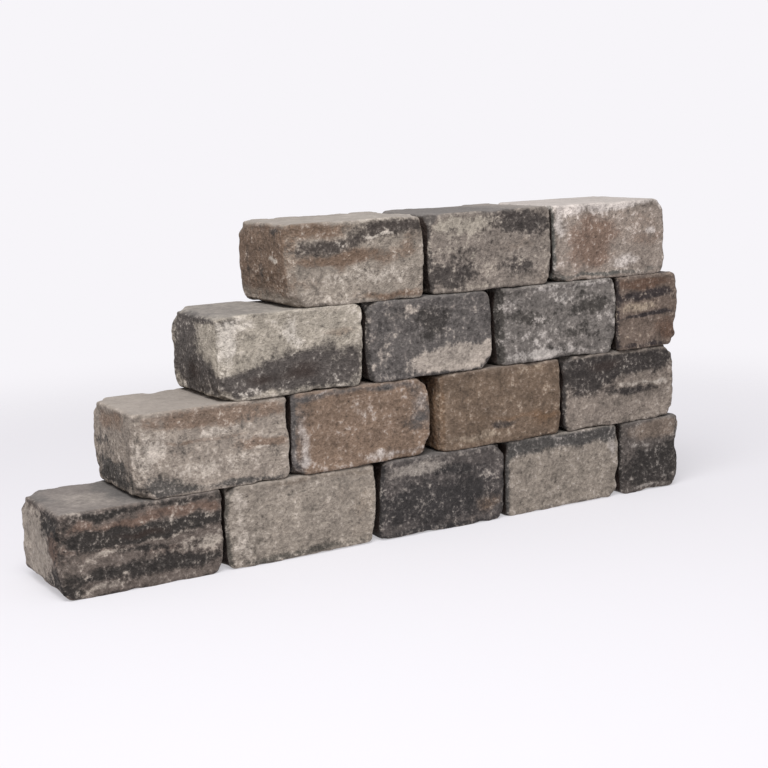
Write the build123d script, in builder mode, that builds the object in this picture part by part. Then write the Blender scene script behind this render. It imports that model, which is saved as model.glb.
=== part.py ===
"""A stepped, dry-laid stack of tumbled concrete walling blocks, in millimetres.

Four courses in running bond. Each course starts half a block further to the right than the one
below it, so the left end climbs in steps, and every second course is made up with a cut block at the
right. A block is pressed in a mould as a plain brick shape and then rolled in a drum, which rounds
its arrises, bellies its ends and knocks corners off it, each time in other places. The blocks are
solid and lie bed on bed with nothing between them.

The origin is on the ground, midway along the stack and midway through its depth. +X runs along the
stack towards its straight end, +Z is up, and the fair face looks along -Y.
"""

from build123d import *
from dataclasses import dataclass
from math import cos, radians, sin, sqrt
import os

# A block as it leaves the drum
block_length = 287.0  # the usual length, over the bellies of both ends
block_depth = 200.0
block_height = 150.0
cut_surplus = 17.0  # how much more than half a block is left of a cut one
cut_length = block_length / 2 + cut_surplus

# How the blocks are laid
mean_joint = 6.0  # the usual gap between two blocks of one course
bond_step = (block_length + mean_joint) / 2  # how far each course is set on from the one below

# The drum's wear that all blocks share, round the front and the back face
arris_wear = 7.0  # how wide the break along the arris is, on both of its sides
face_wear = 2.5  # how wide the softer break is where that one meets the face
corner_left = 0.4  # least radius that a corner of the face keeps inside both breaks

# The sides of a block, which name the places where it was knocked
LEFT, RIGHT = Vector(-1, 0, 0), Vector(1, 0, 0)
FRONT, BACK = Vector(0, -1, 0), Vector(0, 1, 0)
BOTTOM, TOP = Vector(0, 0, -1), Vector(0, 0, 1)


@dataclass
class End:
    """A bellied end: how far its top and its bottom stand in from its furthest point."""

    top: float
    bottom: float


@dataclass
class Corners:
    """The radii that the drum wore on the four corners of a block's face."""

    top_left: float
    top_right: float
    bottom_right: float
    bottom_left: float


@dataclass
class Knock:
    """A corner or arris broken off flat: where it was, and how deep under the sharp corner it broke."""

    where: Vector
    depth: float


@dataclass
class Block:
    """One block as found. All of it is measured from the usual block, laid in line."""

    longer: float  # than the usual length
    left: End
    right: End
    corners: Corners
    knocks: list
    wider_joint: float = 0.0  # than the usual gap, on its left
    setback: float = 0.0  # behind the line of the stack
    turn: float = 0.0  # in degrees; positive sends its right end back
    cut: bool = False

    @property
    def length(self):
        return (cut_length if self.cut else block_length) + self.longer


@dataclass
class Course:
    """One layer of blocks, from the left. Drift is how far it starts to the right of the bond."""

    name: str
    drift: float
    blocks: list

    @property
    def length(self):
        joints = sum(mean_joint + block.wider_joint for block in self.blocks[1:])
        return joints + sum(block.length for block in self.blocks)


bottom_course = Course("bottom_course", 0.0, [
    Block(
        longer=11, left=End(4, 5), right=End(0.5, 7), corners=Corners(16, 10, 14, 22),
        knocks=[
            Knock(LEFT + FRONT, 12),
            Knock(LEFT + BOTTOM, 15),
            Knock(LEFT + BACK + TOP, 22),
            Knock(RIGHT + BACK + BOTTOM, 20),
        ],
        setback=-2.0,
    ),
    Block(
        longer=22, left=End(5, 5), right=End(7, 14), corners=Corners(15, 14, 16, 15),
        knocks=[
            Knock(RIGHT + BOTTOM, 15),
            Knock(LEFT + FRONT + TOP, 17),
            Knock(RIGHT + BACK + TOP, 20),
        ],
        wider_joint=-2.0, setback=0.5, turn=1.0,
    ),
    Block(
        longer=-6, left=End(14, 0.5), right=End(2, 8), corners=Corners(11, 18, 22, 24),
        knocks=[
            Knock(RIGHT + BOTTOM, 15),
            Knock(RIGHT + FRONT + TOP, 19),
            Knock(LEFT + BACK + BOTTOM, 20),
        ],
        setback=-0.5, turn=-0.7,
    ),
    Block(
        longer=-9, left=End(2, 2), right=End(3.5, 4.5), corners=Corners(11, 11, 22, 11),
        knocks=[
            Knock(RIGHT + FRONT + BOTTOM, 18),
            Knock(RIGHT + BACK + TOP, 20),
        ],
        wider_joint=-0.5, setback=1.0, turn=0.3,
    ),
    Block(
        longer=2, left=End(2, 2), right=End(4, 5), corners=Corners(10, 15, 16, 12),
        knocks=[
            Knock(RIGHT + FRONT, 12),
            Knock(RIGHT + FRONT + BOTTOM, 20),
            Knock(RIGHT + BACK + TOP, 22),
        ],
        wider_joint=-2.0, turn=-0.3, cut=True,
    ),
])

second_course = Course("second_course", -5.0, [
    Block(
        longer=6.5, left=End(4, 6), right=End(0.5, 4.5), corners=Corners(13, 11, 13, 22),
        knocks=[
            Knock(LEFT + FRONT, 13),
            Knock(LEFT + FRONT + BOTTOM, 24),
            Knock(LEFT + BACK + TOP, 19),
        ],
        setback=-1.5,
    ),
    Block(
        longer=7, left=End(3, 3), right=End(17.5, 14.5), corners=Corners(12, 28, 24, 15),
        knocks=[
            Knock(RIGHT + TOP, 20),
            Knock(LEFT + FRONT + BOTTOM, 19),
        ],
        wider_joint=-2.0, setback=-0.5, turn=0.5,
    ),
    Block(
        longer=0, left=End(3, 5), right=End(2, 6), corners=Corners(20, 12, 15, 12),
        knocks=[
            Knock(LEFT + FRONT, 12),
            Knock(RIGHT + BACK + BOTTOM, 20),
        ],
        wider_joint=10.5, setback=-1.5, turn=-0.4,
    ),
    Block(
        longer=-3.5, left=End(2, 4), right=End(3.5, 6.5), corners=Corners(11, 10, 13, 20),
        knocks=[
            Knock(LEFT + FRONT + TOP, 19),
            Knock(RIGHT + FRONT + TOP, 16),
            Knock(RIGHT + BACK + BOTTOM, 21),
        ],
        wider_joint=-0.5, turn=0.4,
    ),
])

third_course = Course("third_course", 8.0, [
    Block(
        longer=5.5, left=End(8, 10), right=End(3, 11), corners=Corners(22, 20, 14, 24),
        knocks=[
            Knock(LEFT + FRONT, 14),
            Knock(LEFT + BACK + TOP, 23),
            Knock(LEFT + FRONT + BOTTOM, 25),
        ],
        setback=-1.0,
    ),
    Block(
        longer=-7, left=End(2.5, 5.5), right=End(10.5, 11.5), corners=Corners(16, 24, 26, 24),
        knocks=[
            Knock(RIGHT + FRONT + BOTTOM, 21),
            Knock(LEFT + FRONT + TOP, 18),
        ],
        wider_joint=-0.5, turn=0.6,
    ),
    Block(
        longer=-2.5, left=End(2, 4), right=End(6, 12), corners=Corners(12, 18, 16, 14),
        knocks=[
            Knock(LEFT + FRONT, 12),
            Knock(RIGHT + BACK + TOP, 21),
        ],
        wider_joint=5.0, setback=-1.5, turn=-0.5,
    ),
    Block(
        longer=-2.5, left=End(2, 4), right=End(5.5, 8.5), corners=Corners(10, 20, 15, 11),
        knocks=[
            Knock(RIGHT + BOTTOM, 17),
            Knock(RIGHT + BACK + TOP, 22),
        ],
        wider_joint=-2.0, setback=-0.5, turn=0.4, cut=True,
    ),
])

top_course = Course("top_course", 5.5, [
    Block(
        longer=-6, left=End(2.5, 9.5), right=End(0.5, 3.5), corners=Corners(13, 11, 12, 26),
        knocks=[
            Knock(LEFT + FRONT, 13),
            Knock(LEFT + FRONT + BOTTOM, 24),
            Knock(LEFT + BACK + TOP, 19),
        ],
        setback=-1.5,
    ),
    Block(
        longer=-5.5, left=End(2, 4), right=End(2, 8), corners=Corners(12, 15, 16, 14),
        knocks=[
            Knock(RIGHT + BOTTOM, 15),
            Knock(LEFT + FRONT + TOP, 17),
            Knock(LEFT + BACK + TOP, 18),
        ],
        wider_joint=5.0, turn=0.4,
    ),
    Block(
        longer=-6.5, left=End(0.5, 6.5), right=End(3.5, 4.5), corners=Corners(14, 15, 12, 24),
        knocks=[
            Knock(LEFT + FRONT + BOTTOM, 22),
            Knock(RIGHT + FRONT + TOP, 19),
            Knock(RIGHT + BACK + TOP, 20),
        ],
        wider_joint=-2.0, setback=-1.0, turn=-0.3,
    ),
])


def belly_height(end):
    """How high the furthest point of an end lies, for its curve to pass it upright."""
    return block_height * sqrt(end.bottom) / (sqrt(end.bottom) + sqrt(end.top))


def face_corners(block):
    """The sharp corners of a block's face, about the middle of its lower bed, each with its radius."""
    half = block.length / 2
    return {
        (block.left.top - half, block_height): block.corners.top_left,
        (half - block.right.top, block_height): block.corners.top_right,
        (half - block.right.bottom, 0): block.corners.bottom_right,
        (block.left.bottom - half, 0): block.corners.bottom_left,
    }


def face_outline(block):
    """The outline of a block's face before its corners wore: flat beds and bellied ends."""
    half = block.length / 2
    top_left, top_right, bottom_right, bottom_left = face_corners(block)
    with BuildLine() as outline:
        Line(bottom_left, bottom_right)
        ThreePointArc(bottom_right, (half, belly_height(block.right)), top_right)
        Line(top_right, top_left)
        ThreePointArc(top_left, (-half, belly_height(block.left)), bottom_left)
    return outline.line


def break_plane(block, knock, middle):
    """The flat break of a knock, square to its direction and that deep under the sharp corner."""
    outwards = knock.where.normalized()
    corner = middle + Vector(
        knock.where.X * block.length / 2,
        knock.where.Y * block_depth / 2,
        knock.where.Z * block_height / 2,
    )
    return Plane(origin=corner - outwards * knock.depth, z_dir=outwards)


def lay_block(name, block, start, bed):
    """Make one block where it lies: start is the X of its left end, bed the Z of its lower bed."""
    middle = Vector(start + block.length / 2, block.setback, bed + block_height / 2)
    along = Vector(cos(radians(block.turn)), sin(radians(block.turn)))
    outwards = Vector(along.Y, -along.X)
    face = Plane(
        origin=middle + outwards * block_depth / 2 + BOTTOM * block_height / 2,
        x_dir=along,
        z_dir=outwards,
    )
    with BuildPart() as stone:
        # The shape of the face, with its worn corners, carried back through the depth
        with BuildSketch(face) as sketch:
            make_face(face_outline(block))
            for corner, radius in face_corners(block).items():
                fillet(
                    sketch.vertices().sort_by_distance(corner)[0],
                    radius=max(radius, arris_wear + face_wear + corner_left),
                )
        extrude(amount=-block_depth)
        # The arrises round the front and the back face, worn in two steps
        for side in (0, -1):
            chamfer(stone.faces().sort_by(Axis.Y)[side].edges(), length=arris_wear)
            chamfer(stone.faces().sort_by(Axis.Y)[side].edges(), length=face_wear)
        # What was broken off in the drum
        for knock in block.knocks:
            split(bisect_by=break_plane(block, knock, middle), keep=Keep.BOTTOM)
    stone.part.label = name
    export_step(stone.part, f"parts/{name}.step")


os.makedirs("parts", exist_ok=True)

courses = [bottom_course, second_course, third_course, top_course]
for level, course in enumerate(courses):
    start = level * bond_step + course.drift - bottom_course.length / 2
    for number, block in enumerate(course.blocks, start=1):
        if number > 1:
            start += mean_joint + block.wider_joint
        kind = "cut_block" if block.cut else f"block_{number}"
        lay_block(f"{course.name}_{kind}", block, start, level * block_height)
        start += block.length
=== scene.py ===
"""A stepped, dry-laid stack of tumbled concrete walling blocks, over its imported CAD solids."""

import math
from dataclasses import dataclass

import bpy
import numpy as np
from mathutils import Matrix, Vector


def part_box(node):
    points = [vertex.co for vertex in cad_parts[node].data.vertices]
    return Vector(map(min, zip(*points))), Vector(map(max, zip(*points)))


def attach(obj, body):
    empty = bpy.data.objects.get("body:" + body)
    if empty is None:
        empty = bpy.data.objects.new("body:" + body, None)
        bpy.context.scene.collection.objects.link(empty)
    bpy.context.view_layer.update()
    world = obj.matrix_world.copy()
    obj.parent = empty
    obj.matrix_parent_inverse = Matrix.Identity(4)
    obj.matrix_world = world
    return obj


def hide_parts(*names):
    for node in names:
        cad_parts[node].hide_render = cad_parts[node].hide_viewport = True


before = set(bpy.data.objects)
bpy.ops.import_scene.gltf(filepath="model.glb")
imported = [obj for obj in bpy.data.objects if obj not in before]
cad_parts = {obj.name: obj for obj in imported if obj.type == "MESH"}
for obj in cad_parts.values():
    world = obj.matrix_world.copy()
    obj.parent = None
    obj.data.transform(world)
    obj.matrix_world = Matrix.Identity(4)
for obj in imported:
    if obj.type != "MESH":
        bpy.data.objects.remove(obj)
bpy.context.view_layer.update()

# The camera
# A 70 mm lens on a full-frame sensor, nearly 3 m off, to the left of the stack and a little above
# it. It looks down on the stepped end, and was held a touch askew.
camera_place = Vector((-1.4048, -2.4480, 0.7724))
camera_yaw = math.radians(30.15)  # from straight ahead towards the right
camera_pitch = math.radians(9.94)  # downwards
camera_roll = math.radians(-1.89)

camera = bpy.data.objects.new("camera", bpy.data.cameras.new("camera"))
camera.data.sensor_width = 36.0
camera.data.lens = 70.4
camera.matrix_world = (
    Matrix.Translation(camera_place)
    @ Matrix.Rotation(-camera_yaw, 4, "Z")
    @ Matrix.Rotation(math.pi / 2 - camera_pitch, 4, "X")
    @ Matrix.Rotation(camera_roll, 4, "Z")
)
bpy.context.scene.collection.objects.link(camera)
bpy.context.scene.camera = camera
bpy.context.scene.view_settings.view_transform = "Standard"

# The studio
# A sheet of matt white paper under the stack, lit by a pale surround and two large soft boxes. The
# sheet fades into the surround, so no horizon shows.
surround_colour = "F7F5F9"
surround_light = 0.6  # what the surround casts, against how bright it looks
floor_colour = "DAD8DC"
floor_glow = 0.45  # share of the sheet's brightness that the lamps don't make
floor_radius = 2.6  # in metres
floor_whole = 0.35  # share of the radius up to which the sheet is whole
floor_gone = 0.98  # share of the radius at which it has faded out


def linear(code):
    """An sRGB hex code as linear red, green and blue, each by the sRGB curve, and alpha 1."""
    srgb = np.array([int(code[i:i + 2], 16) for i in (0, 2, 4)]) / 255
    curve = np.where(srgb <= 0.04045, srgb / 12.92, ((srgb + 0.055) / 1.055) ** 2.4)
    return (*curve.tolist(), 1.0)


def node(tree, kind, settings=None, **links):
    """Add a shader node with its settings, and set or link each named input.

    An input is named by its label with underscores for spaces, or by its number as in _0. It takes
    a plain value, or another node's output.
    """
    made = tree.nodes.new("ShaderNode" + kind)
    for key, value in (settings or {}).items():
        setattr(made, key, value)
    for key, value in links.items():
        name = int(key[1:]) if key.startswith("_") else key.replace("_", " ")
        if isinstance(value, bpy.types.NodeSocket):
            tree.links.new(value, made.inputs[name])
        else:
            made.inputs[name].default_value = value
    return made


def new_material(name):
    """A new material and its node tree, still empty."""
    material = bpy.data.materials.new(name)
    material.use_nodes = True
    material.node_tree.nodes.clear()
    return material, material.node_tree


def mesh_piece(name, points, faces):
    """An object whose mesh holds these points and faces, shaded smooth, with its origin at zero."""
    mesh = bpy.data.meshes.new(name)
    mesh.from_pydata(points.tolist(), [], faces.tolist())
    mesh.polygons.foreach_set("use_smooth", np.ones(len(faces), bool))
    mesh.update()
    piece = bpy.data.objects.new(name, mesh)
    bpy.context.scene.collection.objects.link(piece)
    return piece


world = bpy.data.worlds.new("studio")
bpy.context.scene.world = world
world.use_nodes = True
world.node_tree.nodes.clear()
seen = node(world.node_tree, "LightPath").outputs["Is Camera Ray"]
glow = node(
    world.node_tree, "MapRange", None, Value=seen, To_Min=surround_light, To_Max=1.0
).outputs["Result"]
surround = node(world.node_tree, "Background", None, Color=linear(surround_colour), Strength=glow)
node(world.node_tree, "OutputWorld", None, Surface=surround.outputs["Background"])

corners = floor_radius * np.array([(-1, -1, 0), (1, -1, 0), (1, 1, 0), (-1, 1, 0)])
floor = mesh_piece("floor", corners, np.array([[0, 1, 2, 3]]))
material, tree = new_material("matt_white_paper")
place = node(tree, "TexCoord").outputs["Object"]
reach = node(tree, "VectorMath", {"operation": "LENGTH"}, _0=place).outputs["Value"]
whole = node(
    tree, "MapRange", {"interpolation_type": "SMOOTHERSTEP"}, Value=reach,
    From_Min=floor_radius * floor_whole, From_Max=floor_radius * floor_gone,
    To_Min=1.0, To_Max=0.0,
).outputs["Result"]
matt = node(tree, "BsdfDiffuse", Color=linear(floor_colour)).outputs["BSDF"]
lit = node(tree, "Emission", Color=linear(surround_colour)).outputs["Emission"]
paper = node(tree, "MixShader", Fac=floor_glow, _1=matt, _2=lit).outputs["Shader"]
clear = node(tree, "BsdfTransparent").outputs["BSDF"]
mixed = node(tree, "MixShader", Fac=whole, _1=clear, _2=paper).outputs["Shader"]
node(tree, "OutputMaterial", Surface=mixed)
floor.data.materials.append(material)


def soft_box(name, place, size, watts, aim=(0.0, 0.0, 0.3)):
    """A square lamp of that size in metres, turned to face its aim in the middle of the stack."""
    light = bpy.data.objects.new(name, bpy.data.lights.new(name, "AREA"))
    light.data.shape = "SQUARE"
    light.data.size = size
    light.data.energy = watts
    light.location = place
    light.rotation_mode = "QUATERNION"
    light.rotation_quaternion = (Vector(aim) - Vector(place)).to_track_quat("-Z", "Y")
    bpy.context.scene.collection.objects.link(light)


soft_box("key_light", (-1.2, -1.3, 3.4), size=2.2, watts=125.0)
soft_box("fill_light", (0.6, -3.4, 1.8), size=2.4, watts=18.0)

# A tumbled block
# Semi-dry concrete pressed in a steel mould and rolled in a drum once it has set. The faces stay
# nearly flat but come out pocked and lumpy, the arrises crumble, and whole corners break away.
# Each block's piece is a skin over its CAD solid, worn inwards and kept inside the solid's box.
cell = 0.0027  # spacing of the skin's points near the faces
deep_cell = 0.007  # spacing in the middle of the beds, where little shows
fine_margin = 0.045  # how far from the front and the back the fine spacing reaches
core_depth = 0.028  # depth under the surface from which the skin is pushed outwards
smoothing = 12  # rounds that take the solid's hard edges off
general_wear = 0.0010  # what the drum took off everywhere
bed_spared = 0.75  # share of the wear that a bed, lying on another, is spared
end_wear = 0.4  # share by which the ends wore more than the faces
crumbled_reach = 0.011  # how far from an arris it crumbles
lost_to_smoothing = 0.0044  # what the smoothing took off an arris, which is put back
lost_reach = 0.008  # how far from an arris it took anything off
grazing = 1e-4  # a ray as near as this to along a face never meets it


def stations(length, margin=None):
    """Places from 0 to length: a cell apart, and wider apart between the margins, if any."""
    if margin is None:
        return np.linspace(0, length, round(length / cell) + 1)
    near = np.linspace(0, margin, round(margin / cell) + 1)
    middle = np.linspace(margin, length - margin, round((length - 2 * margin) / deep_cell) + 1)
    return np.concatenate([near, middle[1:-1], length - near[::-1]])


def box_skin(across, back, up):
    """The closed skin of a box whose sides are grids on these stations and share their edges.

    Every lattice point that lies on a side gets a number, and each side's quads join four
    neighbouring numbers, wound so that they face outwards.
    """
    shape = (len(across), len(back), len(up))
    outer = np.ones(shape, bool)
    outer[1:-1, 1:-1, 1:-1] = False
    number = np.full(shape, -1)
    number[outer] = np.arange(outer.sum())
    i, j, k = np.nonzero(outer)
    points = np.stack([across[i], back[j], up[k]], 1)
    sides = []
    for axis in range(3):
        for end in (0, -1):
            grid = np.take(number, end, axis=axis)
            ring = [grid[:-1, :-1], grid[1:, :-1], grid[1:, 1:], grid[:-1, 1:]]
            outwards = (axis != 1) == (end == -1)
            sides.append(np.stack([c.ravel() for c in (ring if outwards else ring[::-1])], 1))
    return points, np.concatenate(sides)


def onto_solid(start, direction, cad_node):
    """Where rays from inside a convex CAD solid leave it.

    A ray meets the plane of a face at (plane height - normal . start) / (normal . direction), and
    leaves the solid at the nearest plane that it is heading out of.
    """
    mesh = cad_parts[cad_node].data
    normals = np.empty(len(mesh.polygons) * 3, np.float32)
    centres = np.empty(len(mesh.polygons) * 3, np.float32)
    mesh.polygons.foreach_get("normal", normals)
    mesh.polygons.foreach_get("center", centres)
    normals = normals.reshape(-1, 3).astype(float)
    heights = (normals * centres.reshape(-1, 3)).sum(1)
    planes = np.unique(np.round(np.column_stack([normals, heights]), 4), axis=0)
    heading = direction @ planes[:, :3].T
    room = planes[:, 3] - start @ planes[:, :3].T
    reach = np.where(heading > grazing, room / np.maximum(heading, grazing), np.inf).min(1)
    return start + direction * reach[:, None]


def lumps(points, size, seed):
    """Smooth random hills about size across, from -1 to 1.

    Random heights on a cubic lattice are blended between its points by the fade t t (3 - 2 t).
    """
    count = 48  # heights each way, after which they repeat
    heights = np.random.default_rng(seed).uniform(-1, 1, (count, count, count))
    place = points / size
    corner = np.floor(place).astype(int)
    t = place - corner
    t = t * t * (3 - 2 * t)
    total = np.zeros(len(points))
    for step in np.ndindex(2, 2, 2):
        share = np.where(step, t, 1 - t).prod(1)
        total += share * heights[tuple(((corner + step) % count).T)]
    return total


def relax(points, quads, rounds):
    """Round the edges off: move each point 0.6 of the way to its neighbours' mean, then 0.57 back.

    The step back starts from the smoother shape, so mostly what is narrow is lost.
    """
    ends = np.concatenate([quads[:, [0, 1]], quads[:, [1, 2]], quads[:, [2, 3]], quads[:, [3, 0]]])
    near = np.bincount(ends[:, 0], minlength=len(points))
    for pull in (0.6, -0.57) * rounds:
        total = np.stack(
            [np.bincount(ends[:, 0], points[ends[:, 1], c], len(points)) for c in range(3)], 1
        )
        points = points + pull * (total / near[:, None] - points)
    return points


def outward(points, quads):
    """Unit normals at the points: the summed cross products of the quads' diagonals round each."""
    a, b, c, d = (points[quads[:, i]] for i in range(4))
    cross = np.cross(c - a, d - b)
    total = np.stack(
        [np.bincount(quads.ravel(), np.repeat(cross[:, i], 4), len(points)) for i in range(3)], 1
    )
    return total / np.linalg.norm(total, axis=1)[:, None]


def tumbled_skin(cad_node, seed, crumble=1.0):
    """A block's rough skin over its CAD solid, with what its colours need to know of each point.

    The skin is a box grid met with the solid along rays from a core, then relaxed. The drum's wear
    is taken off along the normal: swells, hills, knobs and grit, less on the beds, and bites out of
    the arrises, whose depth falls off from the arris as exp(-(distance / reach)^2), as does what is
    put back of the arris.
    """
    lowest, highest = (np.array(corner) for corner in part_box(cad_node))
    size = highest - lowest
    grid, quads = box_skin(stations(size[0]), stations(size[1], fine_margin), stations(size[2]))
    core = np.clip(grid, core_depth, size - core_depth)
    direction = grid - core
    direction /= np.linalg.norm(direction, axis=1)[:, None]
    points = relax(onto_solid(lowest + core, direction, cad_node), quads, smoothing)
    normal = outward(points, quads)

    to_arris = np.sort(np.minimum(grid, size - grid), axis=1)[:, 1]
    arris = np.exp(-((to_arris / crumbled_reach) ** 2))
    worn_share = 1 - bed_spared * normal[:, 2] ** 2 + end_wear * normal[:, 0] ** 2

    # Each is so deep at most and so wide, in metres
    swell = 0.0015 * lumps(points, 0.070, seed)
    hills = 0.0013 * lumps(points, 0.027, seed + 1)
    knobs = 0.0006 * lumps(points, 0.012, seed + 2)
    grit = 0.0007 * lumps(points, 0.0055, seed + 3)
    bites = 0.009 * np.clip(lumps(points, 0.042, seed + 4) - 0.1, 0, 1)
    nibbles = 0.003 * np.clip(lumps(points, 0.018, seed + 5) - 0.1, 0, 1)
    depth = worn_share * (general_wear + swell + hills + knobs + grit)
    depth += crumble * arris * (bites + nibbles)
    depth -= lost_to_smoothing * np.exp(-((to_arris / lost_reach) ** 2))
    worn = np.clip(points - normal * depth[:, None], lowest, highest)
    return worn, quads, normal, grid / size, arris


# Its colour
# Three mixes of concrete, tinted in the mass with iron oxide and carbon black, drop into the mould
# in layers, so each block shows its own bands and clouds. Weather and the drum leave pale lime on
# the arrises, and the broken surface shows grains of gravel and open pores.
border_wander = 0.05  # how far a patch's border strays, in shares of the side
border_size = 0.030  # how wide such a stray is, in metres
layer_size = np.array([0.16, 0.16, 0.035])  # of the random layers, in metres
faint_layers = 0.18  # how much they show on the sides in view, which have their own patches
plain_layers = 0.5  # and on the hidden sides, which have none
bed_calm = 0.65  # how much of its mottling an upper bed has lost to the weather
stone_dust = "A09890"  # dust from the drum, rubbed thinly into all of it
weathering_and_top_sheen = "8E8A87"  # an even grey over every upper bed: partly weathering, partly painted sheen
bare_sand = "C0B7AE"  # pale grains that the drum laid bare
# Painted shade: the near-black that stands in for the shade inside the open pores
painted_pore_shade = "2E2A27"
painted_joint_shade = "352A25"  # painted shade: near-black on the ends inside the joints, where the narrow gaps lie in shade


@dataclass
class Patch:
    """A soft-edged patch of one mix on one side, in shares of that side's width and height."""

    mix: str  # dark, brown or pale, over the block's own ground colour
    across: float  # where its middle lies, from the side's left
    up: float  # and from the bottom, or on a bed from the front
    half_width: float
    half_height: float
    rise: float = 0.0  # how much higher its right end lies than its left, over the side's width
    strength: float = 1.0
    side: str = "front"


mixes = ("dark", "brown", "pale")
painted_shade_end = Patch("dark", 0.50, 0.50, 1.50, 1.50, strength=1.9, side="left")  # painted shade on an end inside a joint


def side_shares(normal):
    """How much each point belongs to each side: the square of its normal's part that way."""
    parts = {
        "front": -normal[:, 1], "back": normal[:, 1],
        "left": -normal[:, 0], "right": normal[:, 0],
        "top": normal[:, 2], "bottom": -normal[:, 2],
    }
    return {side: np.clip(part, 0, 1) ** 2 for side, part in parts.items()}


def patch_weight(patch, place):
    """An ellipse with a soft rim: exp(-r^3), where r^2 = (x / a)^2 + (y / b)^2 about its middle."""
    x, y, z = place.T
    across, up = {
        "front": (x, z), "back": (1 - x, z), "left": (1 - y, z), "right": (y, z),
        "top": (x, y), "bottom": (x, y),
    }[patch.side]
    along = (across - patch.across) / patch.half_width
    over = (up - patch.up - patch.rise * (across - 0.5)) / patch.half_height
    return patch.strength * np.exp(-((along**2 + over**2) ** 1.5))


def mix_weights(points, normal, place, patches, strata, seed):
    """The weight of each mix at each point: its ragged patches added to random layers.

    The layers are faint on the sides in view. On the others they are plain, about the strata, which
    are the block's mean weights of the mixes there.
    """
    shares = side_shares(normal)
    seen = shares["front"] + shares["left"] + shares["top"]
    ragged = np.stack([lumps(points, border_size, seed + 20 + axis) for axis in range(3)], 1)
    place = place + border_wander * ragged
    weights = {}
    for number, mix in enumerate(mixes):
        layers = lumps(points, layer_size, seed + 10 + number)
        hidden = strata.get(mix, 0.0) + plain_layers * layers
        weights[mix] = faint_layers * layers * seen + hidden * (1 - seen)
        for patch in patches:
            if patch.mix == mix:
                weights[mix] = weights[mix] + patch_weight(patch, place) * shares[patch.side]
    return weights


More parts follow.
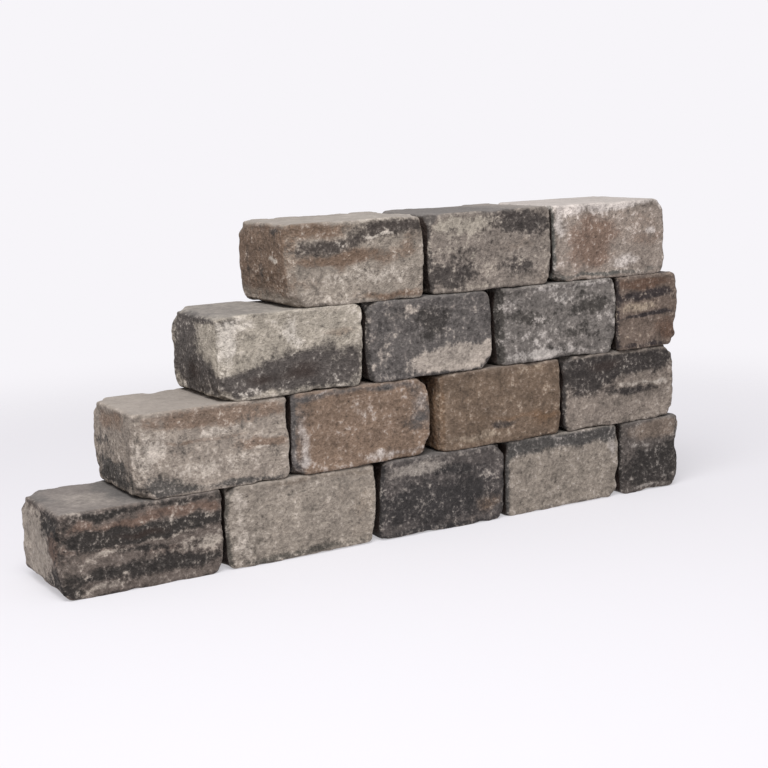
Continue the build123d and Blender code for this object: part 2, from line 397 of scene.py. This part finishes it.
def tumbled_concrete(name, ground, dark, brown, pale, streaky, mottled):
    """Rough, matt, layered concrete: no gloss, broken-up borders, open pores and limy arrises.

    A colour lies over the ones before it where its weight, plus a weighted sum of noises, rises
    past a threshold. Streaky is how many times longer than high the streaks are, and mottled how
    strongly one mix shows through another.
    """
    material, tree = new_material(name)
    weights = node(tree, "Attribute", {"attribute_name": "mixes"})
    parted = node(tree, "SeparateColor", None, Color=weights.outputs["Color"])
    dark_weight, brown_weight, pale_weight = (parted.outputs[c] for c in ("Red", "Green", "Blue"))
    arris = weights.outputs["Alpha"]
    lively = node(tree, "Attribute", {"attribute_name": "lively"}).outputs["Fac"]
    place = node(tree, "TexCoord").outputs["Object"]
    along = node(
        tree, "Mapping", None, Vector=place, Scale=(1 / streaky, 1 / streaky, 1.0)
    ).outputs["Vector"]

    def cloud(vector, millimetres, detail, rough, seed):
        """Noise whose largest clouds are that wide, about -0.3 to 0.3, fainter where it is calm."""
        noise = node(
            tree, "TexNoise", {"noise_dimensions": "4D"}, Vector=vector, W=seed,
            Scale=1000 / millimetres, Detail=detail, Roughness=rough,
        )
        centred = node(tree, "Math", {"operation": "SUBTRACT"}, _0=noise.outputs["Fac"], _1=0.5)
        return node(
            tree, "Math", {"operation": "MULTIPLY"}, _0=centred.outputs[0], _1=lively
        ).outputs[0]

    def together(*parts, base=0.0):
        """The base plus the sum of each pattern times its factor."""
        total = base
        for pattern, factor in parts:
            total = node(
                tree, "Math", {"operation": "MULTIPLY_ADD"}, _0=pattern, _1=factor, _2=total
            ).outputs[0]
        return total

    def over(below, above, pattern, start, stop, most=1.0):
        """A colour over another, by a share that rises as the pattern goes from start to stop."""
        share = node(
            tree, "MapRange", {"interpolation_type": "SMOOTHSTEP"}, Value=pattern,
            From_Min=start, From_Max=stop, To_Max=most,
        ).outputs["Result"]
        above = linear(above)
        return node(tree, "Mix", {"data_type": "RGBA"}, _0=share, _6=below, _7=above).outputs[2]

    # Real sand grains are 1 to 2 mm, and are drawn as coarse as they need to show
    streaks = cloud(along, 30, detail=5, rough=0.65, seed=0.0)
    bloom = cloud(place, 40, detail=4, rough=0.6, seed=4.0)
    clots = cloud(place, 16, detail=5, rough=0.7, seed=1.0)
    gravel = cloud(place, 6.5, detail=2, rough=0.6, seed=2.0)
    sand = cloud(place, 3.4, detail=1, rough=0.5, seed=3.0)

    # The mixes, and lime over them
    m = mottled
    browned = together((streaks, 1.8 * m), (clots, 1.4 * m), (gravel, 0.5 * m), base=brown_weight)
    darkened = together((streaks, 1.6 * m), (clots, -1.8 * m), (gravel, -0.7 * m), base=dark_weight)
    paled = together((bloom, 1.8 * m), (clots, 1.8 * m), (gravel, 0.8 * m), base=pale_weight)
    limy = together((arris, 0.1), (bloom, 0.6), (clots, 1.0), (gravel, 1.2))
    colour = over(linear(ground), brown, browned, 0.1, 0.9)
    colour = over(colour, dark, darkened, 0.12, 0.88)
    colour = over(colour, pale, paled, 0.25, 0.95, 0.9)
    colour = over(colour, pale, limy, 0.1, 0.42, 0.45)

    # What lies on them, the grains' tone, painted sheen on upper beds, painted shade in the pores
    dusty = together((clots, 0.8), (gravel, 1.3), (sand, 0.4))
    colour = over(colour, stone_dust, dusty, -0.05, 0.55, 0.30)
    # Painted sheen, partly weathering: an even grey over the upper beds
    colour = over(colour, weathering_and_top_sheen, lively, 1.0, 1 - bed_calm, 0.40)
    tone = together((bloom, 1.3), (clots, 1.5), (gravel, 1.2), (sand, 0.2), base=1.0)
    colour = node(tree, "HueSaturation", None, Color=colour, Value=tone).outputs["Color"]
    flecked = together((gravel, 1.0), (sand, 0.7))
    colour = over(colour, bare_sand, flecked, 0.20, 0.42, 0.31)
    # Painted shade in the pores, where the bump also sinks
    in_pore_shade = together((gravel, -1.0), (sand, -1.0))
    colour = over(colour, painted_pore_shade, in_pore_shade, 0.22, 0.38, 0.5)
    # Painted shade: near-black where the dark weight runs highest, on the ends inside the joints
    colour = over(colour, painted_joint_shade, dark_weight, 1.2, 1.8)

    height = together((clots, 0.8), (gravel, 1.0), (sand, 0.5))
    bump = node(tree, "Bump", None, Height=height, Strength=0.9, Distance=0.005)
    skin = node(
        tree, "BsdfPrincipled", None, Base_Color=colour, Roughness=0.93, IOR=1.5,
        Specular_IOR_Level=0.3, Normal=bump.outputs["Normal"],
    )
    node(tree, "OutputMaterial", Surface=skin.outputs["BSDF"])
    return material


def lay_block(
    cad_node, ground, dark, brown, pale, patches, strata,
    streaky=3.0, mottled=1.0, crumble=1.0,
):
    """Make one block's skin over its CAD node, colour it and let it stand for the node.

    Ground, dark, brown and pale are the hex codes of its mixes, and crumble is how far its arrises
    crumbled, against the usual.
    """
    seed = 100 * (1 + sorted(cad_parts).index(cad_node))
    points, quads, normal, place, arris = tumbled_skin(cad_node, seed, crumble)
    piece = mesh_piece(cad_node + "_tumbled", points, quads)
    weights = mix_weights(points, normal, place, patches, strata, seed)
    colours = np.stack([*(np.clip(weights[mix], -1, 3) for mix in mixes), arris], 1)
    attribute = piece.data.attributes.new("mixes", "FLOAT_COLOR", "POINT")
    attribute.data.foreach_set("color", colours.ravel().astype(np.float32))
    lively = 1 - bed_calm * side_shares(normal)["top"]
    attribute = piece.data.attributes.new("lively", "FLOAT", "POINT")
    attribute.data.foreach_set("value", lively.astype(np.float32))
    material = tumbled_concrete(
        "tumbled_concrete_" + cad_node, ground, dark, brown, pale, streaky, mottled
    )
    piece.data.materials.append(material)
    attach(piece, "root")
    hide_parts(cad_node)


# The bottom course
# Four whole blocks and a cut one of tumbled concrete, laid dry on the ground, where they carry the
# rest. The first is banded in charcoal and rust, the others turn between plain beige and charcoal.
lay_block(
    "bottom_course_block_1", ground="685E57", dark="35312E", brown="6C594E", pale="9F958A",
    patches=[
        Patch("dark", 0.80, 0.96, 0.34, 0.06),
        Patch("dark", 0.22, 0.93, 0.24, 0.06, strength=0.9),
        Patch("pale", 0.10, 0.99, 0.07, 0.03, strength=1.2),
        Patch("brown", 0.76, 0.83, 0.34, 0.08, rise=0.04),
        Patch("brown", 0.42, 0.78, 0.14, 0.06),
        Patch("brown", 0.12, 0.82, 0.18, 0.06, strength=0.6),
        Patch("dark", 0.24, 0.66, 0.34, 0.12, strength=1.1),
        Patch("dark", 0.72, 0.64, 0.36, 0.10, rise=0.06, strength=1.1),
        Patch("pale", 0.66, 0.55, 0.18, 0.02, strength=0.6),
        Patch("pale", 0.30, 0.49, 0.07, 0.03, strength=0.7),
        Patch("pale", 0.12, 0.42, 0.14, 0.07, strength=0.3),
        Patch("dark", 0.50, 0.46, 0.16, 0.05, strength=0.8),
        Patch("pale", 0.87, 0.42, 0.20, 0.08, strength=0.8),
        Patch("pale", 0.60, 0.36, 0.16, 0.05, strength=0.4),
        Patch("dark", 0.62, 0.22, 0.42, 0.11),
        Patch("dark", 0.18, 0.26, 0.20, 0.07, strength=0.6),
        Patch("pale", 0.26, 0.12, 0.14, 0.05, strength=0.7),
        Patch("dark", 0.06, 0.08, 0.08, 0.09),
        Patch("pale", 0.24, 0.42, 0.46, 0.54, strength=1.6, side="left"),
        Patch("dark", 0.72, 0.86, 0.24, 0.16, strength=0.9, side="left"),
        Patch("brown", 0.86, 0.62, 0.14, 0.26, strength=0.9, side="left"),
        Patch("dark", 0.80, 0.14, 0.22, 0.16, strength=0.9, side="left"),
        Patch("dark", 0.96, 0.45, 0.10, 0.40, strength=0.6, side="left"),
        Patch("pale", 0.22, 0.40, 0.26, 0.45, strength=0.7, side="top"),
        Patch("dark", 0.04, 0.80, 0.12, 0.40, strength=0.6, side="top"),
        Patch("dark", 0.50, 0.50, 0.14, 0.90, strength=0.7, side="top"),
    ],
    strata={"dark": 0.25, "pale": 0.2}, streaky=5.0, mottled=1.15,
    crumble=0.7,
)
lay_block(
    "bottom_course_block_2", ground="91877C", dark="5A554E", brown="867A6D", pale="B5ABA0",
    patches=[
        Patch("pale", 0.06, 0.80, 0.10, 0.24, strength=0.7),
        Patch("pale", 0.12, 0.30, 0.16, 0.30, strength=0.5),
        Patch("brown", 0.50, 0.97, 0.48, 0.05, strength=0.6),
        Patch("dark", 0.50, 0.03, 0.48, 0.06, strength=0.8),
        Patch("dark", 0.49, 0.79, 0.13, 0.014, strength=0.6),
        Patch("brown", 0.90, 0.50, 0.14, 0.50, strength=0.45),
        painted_shade_end,
    ],
    strata={"brown": 0.1}, streaky=1.5, mottled=0.8, crumble=0.7,
)
lay_block(
    "bottom_course_block_3", ground="554F4C", dark="383534", brown="655548", pale="8E867E",
    patches=[
        Patch("pale", 0.28, 0.84, 0.28, 0.09, strength=1.1),
        Patch("pale", 0.62, 0.96, 0.42, 0.04, strength=0.5),
        Patch("dark", 0.60, 0.78, 0.18, 0.08, strength=0.8),
        Patch("dark", 0.35, 0.38, 0.42, 0.32, strength=0.9),
        Patch("dark", 0.80, 0.55, 0.20, 0.25, strength=0.5),
        Patch("brown", 0.85, 0.28, 0.10, 0.10, strength=0.7),
        Patch("dark", 0.50, 0.02, 0.50, 0.05),
        painted_shade_end,
    ],
    strata={"dark": 0.5}, streaky=1.5, mottled=0.9, crumble=0.7,
)
lay_block(
    "bottom_course_block_4", ground="8D8378", dark="4E4B48", brown="85786B", pale="ABA39D",
    patches=[
        Patch("dark", 0.50, 0.92, 0.90, 0.17, strength=1.1),
        Patch("pale", 0.45, 0.95, 0.15, 0.04, strength=0.5),
        Patch("pale", 0.96, 0.70, 0.05, 0.20, strength=0.7),
        Patch("dark", 0.50, 0.02, 0.50, 0.03, strength=0.5),
        painted_shade_end,
    ],
    strata={"dark": 0.1}, streaky=1.5, mottled=0.7, crumble=0.7,
)
lay_block(
    "bottom_course_cut_block", ground="5A534E", dark="373330", brown="75685D", pale="8F8882",
    patches=[
        Patch("brown", 0.60, 0.85, 0.55, 0.14),
        Patch("pale", 0.15, 0.83, 0.14, 0.10, strength=0.5),
        Patch("pale", 0.30, 0.65, 0.28, 0.03, strength=0.6),
        Patch("dark", 0.72, 0.38, 0.42, 0.30, strength=1.1),
        Patch("dark", 0.22, 0.30, 0.26, 0.26, strength=0.8),
        Patch("pale", 0.40, 0.52, 0.05, 0.08, strength=0.6),
        Patch("pale", 0.50, 0.06, 0.50, 0.04, strength=0.6),
        painted_shade_end,
    ],
    strata={"dark": 0.4}, streaky=2.0, mottled=0.9,
)

# The second course
# Four whole blocks of tumbled concrete, laid dry on the first course and half a block further on:
# taupe, two in plain brown, and one half charcoal.
lay_block(
    "second_course_block_1", ground="968B80", dark="55514D", brown="7D6B5D", pale="B7ADA2",
    patches=[
        Patch("brown", 0.55, 0.88, 0.60, 0.14, strength=1.0),
        Patch("pale", 0.09, 0.55, 0.12, 0.28, strength=0.8),
        Patch("pale", 0.55, 0.69, 0.18, 0.05, strength=0.6),
        Patch("brown", 0.40, 0.61, 0.30, 0.03, strength=0.7),
        Patch("brown", 0.84, 0.46, 0.18, 0.08),
        Patch("pale", 0.85, 0.40, 0.06, 0.02, strength=0.7),
        Patch("pale", 0.55, 0.28, 0.42, 0.14, strength=0.5),
        Patch("dark", 0.12, 0.10, 0.20, 0.13, strength=1.1),
        Patch("dark", 0.60, 0.03, 0.46, 0.06, strength=1.1),
        Patch("brown", 0.27, 0.82, 0.16, 0.12, side="left"),
        Patch("brown", 0.62, 0.85, 0.22, 0.12, side="left"),
        Patch("dark", 0.30, 0.55, 0.30, 0.10, strength=0.5, side="left"),
        Patch("pale", 0.35, 0.45, 0.05, 0.03, strength=0.8, side="left"),
        Patch("dark", 0.42, 0.18, 0.50, 0.20, strength=1.0, side="left"),
        Patch("pale", 0.95, 0.50, 0.08, 0.30, strength=0.7, side="left"),
        Patch("brown", 0.50, 0.50, 1.20, 1.20, strength=0.2, side="top"),
    ],
    strata={"brown": 0.2}, mottled=1.2,
)
lay_block(
    "second_course_block_2", ground="7F6B5B", dark="625D5A", brown="786353", pale="B0A8A2",
    patches=[
        Patch("pale", 0.10, 0.45, 0.05, 0.45, strength=0.5),
        Patch("dark", 0.05, 0.50, 0.08, 0.50, strength=0.5),
        Patch("pale", 0.07, 0.12, 0.09, 0.16, strength=0.6),
        Patch("dark", 0.25, 0.95, 0.30, 0.06, strength=0.6),
        Patch("pale", 0.24, 0.98, 0.06, 0.02, strength=0.9),
        Patch("dark", 0.72, 0.95, 0.18, 0.07, strength=0.8),
        Patch("pale", 0.50, 0.70, 0.16, 0.20, strength=0.35),
        Patch("dark", 0.93, 0.65, 0.09, 0.30, strength=0.6),
        Patch("pale", 0.95, 0.75, 0.05, 0.15, strength=0.5),
        Patch("pale", 0.70, 0.08, 0.35, 0.06, strength=0.5),
        painted_shade_end,
    ],
    strata={"brown": 0.3}, streaky=1.5, mottled=0.7,
)
lay_block(
    "second_course_block_3", ground="705F50", dark="473F3A", brown="705945", pale="9E8F7D",
    patches=[
        Patch("pale", 0.50, 0.93, 0.50, 0.07, strength=0.35),
        Patch("dark", 0.52, 0.25, 0.10, 0.06, strength=0.8),
        Patch("brown", 0.50, 0.33, 0.50, 0.04, rise=-0.1, strength=0.5),
        Patch("brown", 0.86, 0.25, 0.16, 0.14, strength=0.4),
        Patch("pale", 0.30, 0.13, 0.28, 0.08, strength=0.7),
        Patch("brown", 0.50, 0.50, 1.50, 1.50, strength=1.1, side="left"),
    ],
    strata={"brown": 0.3}, mottled=0.6,
)
lay_block(
    "second_course_block_4", ground="857A70", dark="3D3835", brown="7D7066", pale="AAA197",
    patches=[
        Patch("dark", 0.20, 0.74, 0.34, 0.30, strength=1.2),
        Patch("dark", 0.70, 0.83, 0.40, 0.18),
        Patch("pale", 0.68, 0.54, 0.30, 0.04, rise=-0.06, strength=0.8),
        Patch("dark", 0.60, 0.45, 0.22, 0.06, strength=0.9),
        Patch("pale", 0.88, 0.40, 0.12, 0.20, strength=0.4),
        Patch("dark", 0.50, 0.02, 0.50, 0.03, strength=0.5),
        painted_shade_end,
    ],
    strata={"dark": 0.3}, mottled=0.8, crumble=1.5,
)

# The third course
# Three whole blocks and a cut one of tumbled concrete, laid dry and half a block further on again.
# They are mostly charcoal with pale layers, and the cut one is brown.
lay_block(
    "third_course_block_1", ground="A39A8D", dark="544E4A", brown="988878", pale="C0B8AE",
    patches=[
        Patch("pale", 0.06, 0.68, 0.08, 0.32, strength=0.9),
        Patch("pale", 0.50, 0.75, 0.08, 0.22, strength=0.7),
        Patch("pale", 0.25, 0.90, 0.20, 0.08, strength=0.4),
        Patch("brown", 0.83, 0.70, 0.12, 0.06, strength=0.7),
        Patch("dark", 0.01, 0.92, 0.12, 0.09, strength=0.8),
        Patch("dark", 0.15, 0.18, 0.22, 0.15),
        Patch("dark", 0.42, 0.27, 0.26, 0.20),
        Patch("dark", 0.78, 0.28, 0.34, 0.28),
        Patch("pale", 0.45, 0.07, 0.35, 0.06, strength=0.2),
        Patch("dark", 0.28, 0.55, 0.36, 0.65, side="left"),
        Patch("dark", 0.70, 0.22, 0.40, 0.32, side="left"),
        Patch("dark", 0.60, 0.97, 0.40, 0.06, strength=0.7, side="left"),
        Patch("pale", 0.98, 0.70, 0.06, 0.25, strength=0.9, side="left"),
        Patch("brown", 0.48, 0.62, 0.06, 0.06, strength=0.8, side="left"),
        Patch("dark", 0.50, 0.50, 1.20, 1.20, strength=0.5, side="top"),
    ],
    strata={"dark": 0.3}, mottled=0.9, crumble=1.3,
)
lay_block(
    "third_course_block_2", ground="615C59", dark="403C39", brown="6A605A", pale="A89D92",
    patches=[
        Patch("pale", 0.26, 0.84, 0.12, 0.12, strength=0.6),
        Patch("pale", 0.12, 0.40, 0.04, 0.30, strength=0.45),
        Patch("dark", 0.52, 0.65, 0.20, 0.26, strength=0.8),
        Patch("pale", 0.70, 0.17, 0.44, 0.17, rise=0.12, strength=1.5),
        painted_shade_end,
    ],
    strata={"dark": 0.4}, streaky=2.0, mottled=1.1,
)
lay_block(
    "third_course_block_3", ground="736D68", dark="484440", brown="6D6660", pale="ABA49E",
    patches=[
        Patch("pale", 0.50, 0.97, 0.50, 0.04, strength=0.5),
        Patch("pale", 0.12, 0.85, 0.09, 0.10, strength=0.7),
        Patch("pale", 0.30, 0.80, 0.08, 0.05, strength=0.5),
        Patch("dark", 0.25, 0.60, 0.26, 0.11, strength=0.8),
        Patch("dark", 0.76, 0.70, 0.16, 0.18, strength=0.8),
        Patch("pale", 0.54, 0.75, 0.07, 0.12, strength=0.6),
        Patch("pale", 0.25, 0.35, 0.16, 0.10, strength=0.4),
        Patch("pale", 0.36, 0.09, 0.42, 0.08, strength=0.9),
        Patch("dark", 0.70, 0.30, 0.25, 0.12, strength=0.5),
        Patch("pale", 0.97, 0.40, 0.04, 0.40, strength=0.4),
        painted_shade_end,
    ],
    strata={"dark": 0.4}, streaky=2.5, mottled=1.4,
)
lay_block(
    "third_course_cut_block", ground="6E6056", dark="383130", brown="634E41", pale="9C8D7B",
    patches=[
        Patch("brown", 0.45, 0.87, 0.50, 0.09),
        Patch("dark", 0.50, 0.71, 0.60, 0.08),
        Patch("pale", 0.38, 0.54, 0.36, 0.08, strength=0.8),
        Patch("dark", 0.55, 0.43, 0.50, 0.03, rise=0.05, strength=0.9),
        Patch("brown", 0.80, 0.25, 0.20, 0.14, strength=0.7),
        Patch("pale", 0.30, 0.20, 0.30, 0.10, strength=0.3),
        Patch("dark", 0.50, 0.02, 0.50, 0.05),
        painted_shade_end,
    ],
    strata={"brown": 0.4}, streaky=5.0, mottled=0.8, crumble=1.4,
)

# The top course
# Three whole blocks of tumbled concrete, laid dry. Their upper beds lie open to the sky and carry
# an even grey: partly weathering, partly painted sheen of the light glancing off them.
lay_block(
    "top_course_block_1", ground="8F857A", dark="4C4540", brown="736051", pale="B4ABA0",
    patches=[
        Patch("brown", 0.18, 0.92, 0.30, 0.13),
        Patch("dark", 0.28, 0.73, 0.38, 0.10, rise=0.1, strength=0.9),
        Patch("dark", 0.80, 0.87, 0.30, 0.11, rise=0.06, strength=1.1),
        Patch("pale", 0.68, 0.79, 0.16, 0.02, strength=0.7),
        Patch("pale", 0.62, 0.98, 0.30, 0.03, strength=0.5),
        Patch("brown", 0.36, 0.54, 0.46, 0.11, strength=1.1),
        Patch("dark", 0.22, 0.50, 0.14, 0.04, strength=0.4),
        Patch("brown", 0.88, 0.62, 0.12, 0.14, strength=0.6),
        Patch("pale", 0.60, 0.30, 0.40, 0.10, strength=0.4),
        Patch("brown", 0.75, 0.05, 0.28, 0.07, strength=0.9),
        Patch("dark", 0.20, 0.05, 0.20, 0.04, strength=0.5),
        Patch("pale", 0.02, 0.88, 0.02, 0.06, strength=0.9),
        Patch("brown", 0.50, 0.62, 0.90, 0.50, strength=1.1, side="left"),
        Patch("dark", 0.20, 0.50, 0.03, 0.40, strength=0.5, side="left"),
        Patch("dark", 0.42, 0.55, 0.03, 0.40, strength=0.5, side="left"),
        Patch("pale", 0.70, 0.55, 0.08, 0.04, strength=0.8, side="left"),
        Patch("dark", 0.75, 0.93, 0.10, 0.06, strength=0.7, side="left"),
        Patch("pale", 0.50, 0.50, 0.90, 0.90, strength=0.5, side="top"),
    ],
    strata={"brown": 0.3}, mottled=1.0,
)
lay_block(
    "top_course_block_2", ground="857B72", dark="4D4743", brown="74675C", pale="A39A8D",
    patches=[
        Patch("pale", 0.28, 0.82, 0.26, 0.14, strength=1.1),
        Patch("dark", 0.78, 0.85, 0.26, 0.16, strength=1.2),
        Patch("pale", 0.25, 0.55, 0.14, 0.06, strength=0.5),
        Patch("pale", 0.38, 0.47, 0.02, 0.05, strength=0.8),
        Patch("dark", 0.22, 0.25, 0.24, 0.18, strength=1.2),
        Patch("dark", 0.74, 0.28, 0.16, 0.11, strength=0.7),
        Patch("brown", 0.70, 0.55, 0.20, 0.10, strength=0.5),
        Patch("pale", 0.50, 0.04, 0.45, 0.04, strength=0.6),
        Patch("dark", 0.30, 0.50, 0.60, 0.90, strength=0.9, side="top"),
        Patch("pale", 0.80, 0.50, 0.20, 0.50, strength=0.2, side="top"),
        painted_shade_end,
    ],
    strata={"dark": 0.3}, mottled=1.3,
)
lay_block(
    "top_course_block_3", ground="8F8379", dark="5E5C57", brown="7B675A", pale="C6BDB6",
    patches=[
        Patch("pale", 0.50, 0.95, 0.50, 0.08, strength=0.9),
        Patch("pale", 0.06, 0.75, 0.08, 0.20, strength=0.9),
        Patch("brown", 0.35, 0.52, 0.19, 0.34, strength=1.2),
        Patch("brown", 0.80, 0.55, 0.20, 0.25, strength=0.4),
        Patch("pale", 0.64, 0.20, 0.17, 0.12, strength=0.8),
        Patch("dark", 0.55, 0.05, 0.45, 0.05, strength=0.9),
        Patch("pale", 0.84, 0.60, 0.05, 0.06, strength=0.7),
        Patch("pale", 0.50, 0.50, 1.20, 1.20, strength=1.6, side="top"),
        painted_shade_end,
    ],
    strata={"brown": 0.2}, streaky=2.0, mottled=0.8,
)
